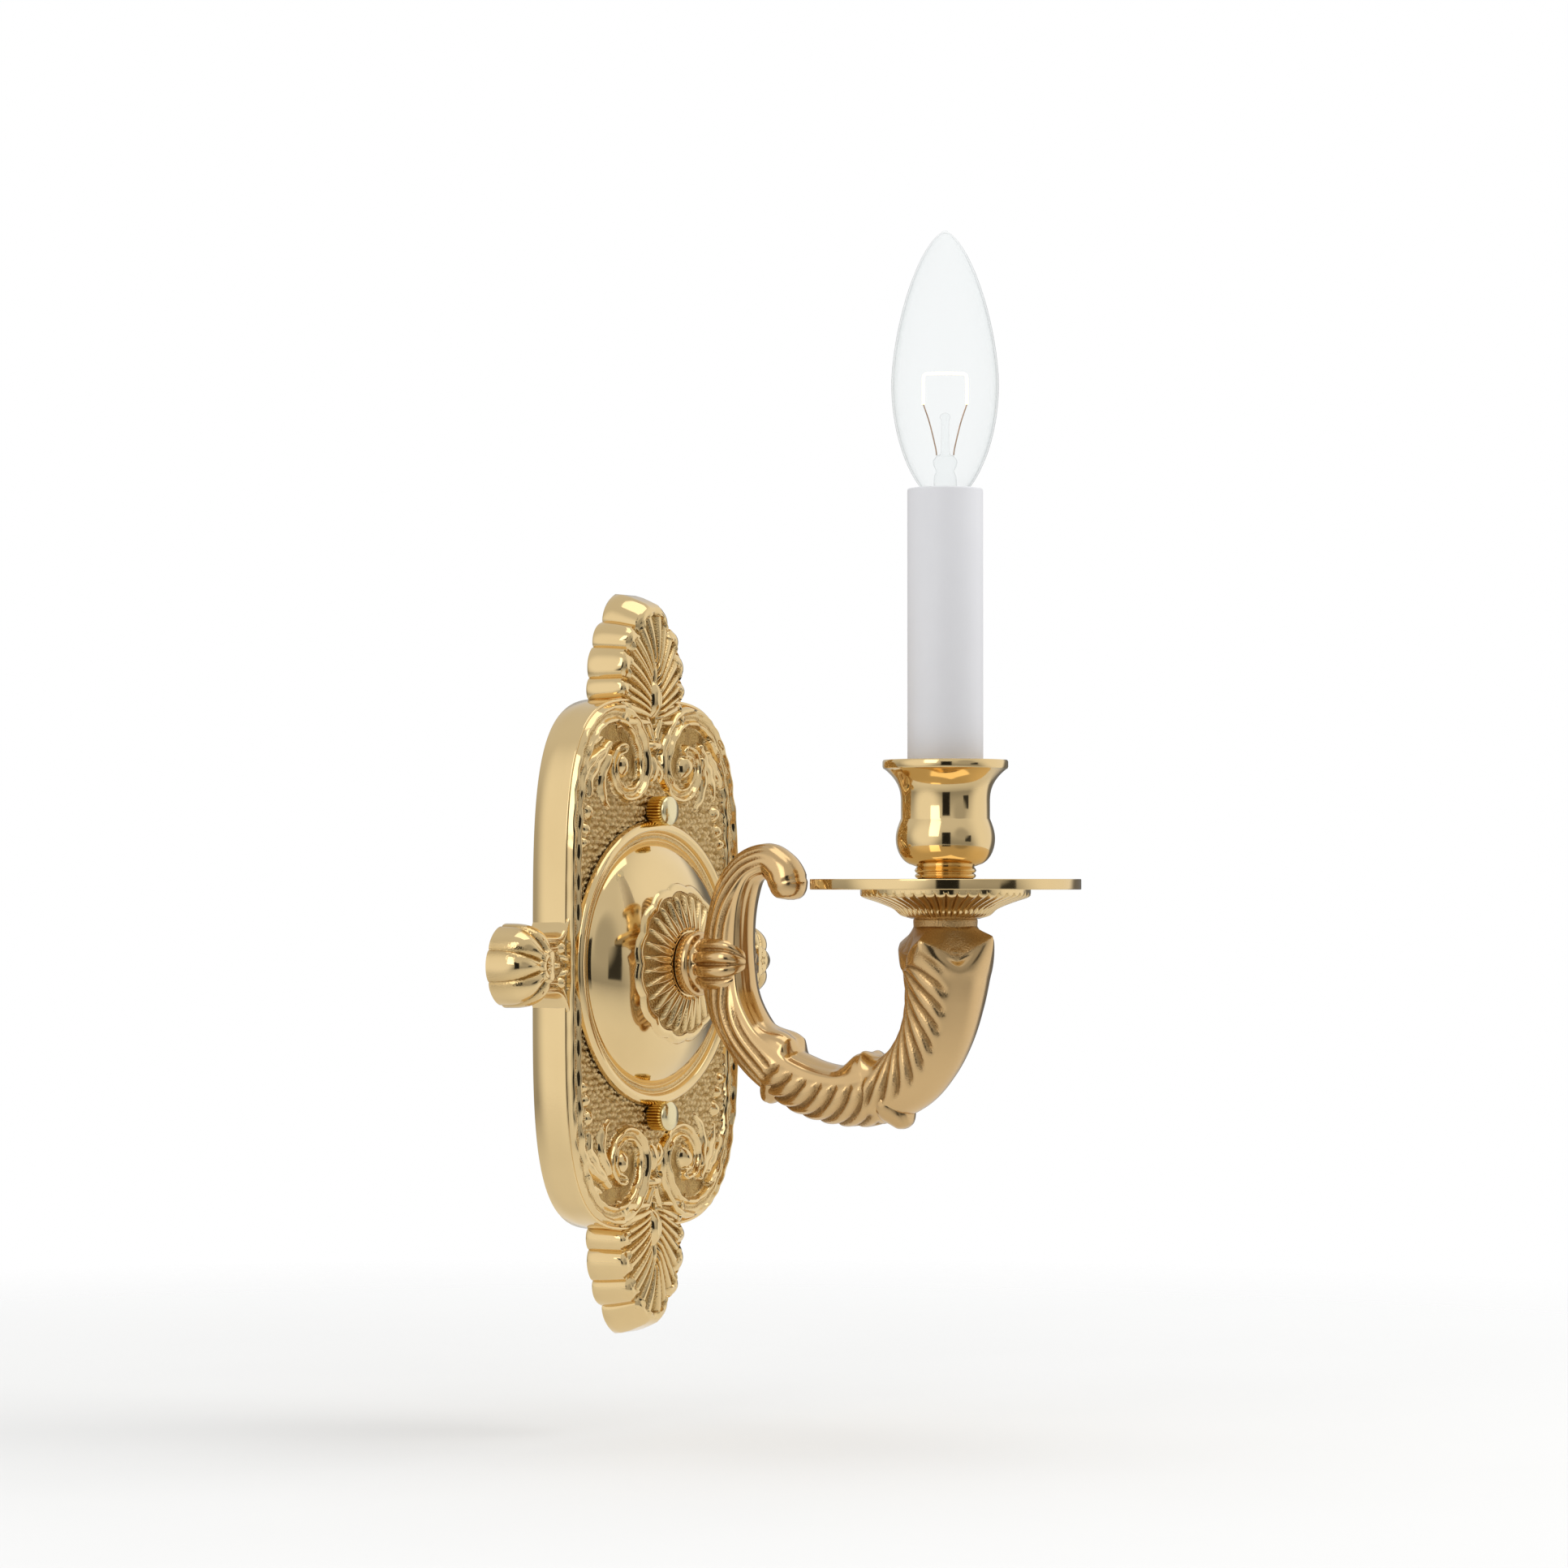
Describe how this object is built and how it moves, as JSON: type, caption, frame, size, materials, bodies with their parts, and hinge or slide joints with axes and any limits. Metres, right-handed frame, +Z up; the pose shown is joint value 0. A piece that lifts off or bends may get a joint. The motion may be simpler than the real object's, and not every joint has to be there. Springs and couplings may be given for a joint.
{
  "type": "wall sconce candle holder",
  "caption": "Electric candle wall sconce: relief brass wall plate with finials and ears, scrolled cast arm, drip pan, turned cup, white candle sleeve and clear torpedo bulb.",
  "frame": {"origin": "centre of the wall plate on the wall: the middle of the crossbar's back face", "axes": "+Z up, +Y into the wall, +X to the right for someone facing the wall; the arm reaches out along -Y"},
  "size_m": [0.1434, 0.1546, 0.3297],
  "materials": {
    "polished_brass": "mirror-polished turned and cast brass",
    "plate_brass": "cast relief, polished on its high places and grained in its grounds",
    "arm_brass": "cast, slightly redder and darker, polished outside and grained between the leaves",
    "zinc_steel": "zinc plated",
    "green_steel": "green passivated",
    "candle_white": "satin white moulded tube",
    "phenolic": "moulded black",
    "clear_glass": "clear blown",
    "nickel_wire": "bright wire",
    "filament": "glowing coiled wire",
    "black_insulation": "smooth extruded",
    "white_insulation": "smooth extruded",
    "orange_plastic": "ribbed moulding"
  },
  "bodies": {
    "fixture": {"backplate": "plate_brass", "crossbar": "zinc_steel", "upper_stud": "zinc_steel", "lower_stud": "zinc_steel", "upper_stud_locknut": "zinc_steel", "lower_stud_locknut": "zinc_steel", "ground_screw": "green_steel", "arm": "arm_brass", "arm_pipe": "zinc_steel", "arm_lock_washer": "zinc_steel", "arm_locknut": "zinc_steel", "pan_bell": "polished_brass", "drip_pan": "polished_brass", "candle_cup": "polished_brass", "candle_pipe": "zinc_steel", "cup_clamp_nut": "zinc_steel", "socket_bracket": "zinc_steel", "socket_rivet": "zinc_steel", "socket_body": "phenolic", "socket_shell": "polished_brass", "socket_contact": "polished_brass", "lead_black": "black_insulation", "lead_white": "white_insulation", "wire_connector_black": "orange_plastic", "wire_connector_white": "orange_plastic"},
    "upper_nut": {"upper_knurled_nut": "polished_brass"},
    "lower_nut": {"lower_knurled_nut": "polished_brass"},
    "sleeve": {"candle_sleeve": "candle_white"},
    "bulb_tip_contact": {"bulb_contact": "polished_brass"},
    "bulb": {"bulb_glass": "clear_glass", "bulb_base": "polished_brass", "bulb_insulator": "phenolic", "bulb_stem": "clear_glass", "bulb_wire_left": "nickel_wire", "bulb_wire_right": "nickel_wire", "bulb_filament": "filament"}
  },
  "joints": [
    {"name": "upper_nut_turn", "type": "hinge", "parent": "fixture", "child": "upper_nut", "pos_m": [0, -0.015, 0.0464], "axis": [0, -1, 0], "continuous": true},
    {"name": "lower_nut_turn", "type": "hinge", "parent": "fixture", "child": "lower_nut", "pos_m": [0, -0.015, -0.0464], "axis": [0, -1, 0], "continuous": true},
    {"name": "sleeve_lift", "type": "slide", "parent": "fixture", "child": "sleeve", "axis": [0, 0, 1], "range_m": [0, 0.004]},
    {"name": "bulb_rise", "type": "slide", "parent": "fixture", "child": "bulb_tip_contact", "axis": [0, 0, 1], "range_m": [0, 0.0127]},
    {"name": "bulb_turn", "type": "hinge", "parent": "bulb_tip_contact", "child": "bulb", "pos_m": [0, -0.1147, 0.13], "axis": [0, 0, 1], "range_deg": [0, 1800]}
  ],
  "couplings": [
    {"joint": "bulb_turn", "follows": "bulb_rise", "rad_per_m": 2473.7}
  ]
}
